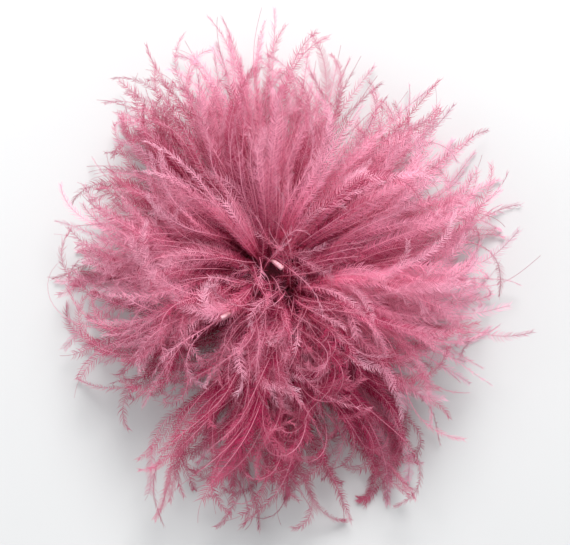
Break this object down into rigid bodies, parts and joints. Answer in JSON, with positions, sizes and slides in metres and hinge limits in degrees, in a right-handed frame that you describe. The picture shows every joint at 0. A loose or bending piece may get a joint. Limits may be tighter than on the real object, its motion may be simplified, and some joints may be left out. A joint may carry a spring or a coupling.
{
  "type": "feather puff",
  "caption": "Round fluffy feather puff made of coiled boa on a felt base, worn in the hair or on a dress with a spring clip or a brooch pin.",
  "frame": {"origin": "on the surface that the puff lies on, under the middle of its plumes", "axes": "+Z out of the front of the puff; X along the clip and the brooch pin, +X towards the clip's thumb tab"},
  "size_m": [0.1772, 0.1772, 0.076],
  "materials": {
    "feather": "soft dyed ostrich flues, dusty rose with darker roots",
    "quill": "split quill, dyed, slightly glossy",
    "felt": "pressed wool felt, matt",
    "cord": "twisted cotton",
    "thread": "polyester sewing thread",
    "plated_steel": "nickel plated, satin",
    "polished_steel": "nickel plated, bright",
    "spring_steel": "drawn wire, bright"
  },
  "bodies": {
    "puff": {"binding_thread": "thread", "boa_cord_inner_ply": "cord", "boa_cord_outer_ply": "cord", "catch_housing": "polished_steel", "clip_pivot_pin": "polished_steel", "clip_plate": "plated_steel", "clip_spring": "spring_steel", "coil_stitches": "thread", "disc_stitches": "thread", "edge_stitches": "thread", "felt_backing": "felt", "felt_base": "felt", "finding_disc": "plated_steel", "pin_bar": "plated_steel", "pin_rivet": "polished_steel", "plume_centre": "feather", "plume_crown_1": "feather", "plume_crown_2": "feather", "plume_crown_3": "feather", "plume_middle_1": "feather", "plume_middle_2": "feather", "plume_middle_3": "feather", "plume_middle_4": "feather", "plume_middle_5": "feather", "plume_outer_1": "feather", "plume_outer_2": "feather", "plume_outer_3": "feather", "plume_outer_4": "feather", "plume_outer_5": "feather", "plume_outer_6": "feather", "plume_skirt_1": "feather", "plume_skirt_2": "feather", "plume_skirt_3": "feather", "plume_skirt_4": "feather", "plume_skirt_5": "feather", "plume_skirt_6": "feather", "plume_upper_1": "feather", "plume_upper_2": "feather", "plume_upper_3": "feather", "plume_upper_4": "feather", "quills_inner_turn": "quill", "quills_middle_turn": "quill", "quills_outer_turn": "quill"},
    "clip_lever": {"clip_lever": "plated_steel"},
    "pin_stem": {"pin_stem": "spring_steel"},
    "catch_roller": {"catch_roller": "polished_steel"}
  },
  "joints": [
    {"name": "clip_lever_hinge", "type": "hinge", "parent": "puff", "child": "clip_lever", "pos_m": [0.004, -0.006, 0.0086], "axis": [0, -1, 0], "range_deg": [0, 22], "stiffness_Nm_per_rad": 0.02, "springref_deg": -22.92, "deforming": ["clip_spring"]},
    {"name": "pin_stem_hinge", "type": "hinge", "parent": "puff", "child": "pin_stem", "pos_m": [0.011, 0.0085, 0.0098], "axis": [0, -1, 0], "range_deg": [0, 75]},
    {"name": "catch_roller_turn", "type": "hinge", "parent": "puff", "child": "catch_roller", "pos_m": [-0.01, 0.0085, 0.0098], "axis": [1, 0, 0], "range_deg": [0, 110]}
  ]
}
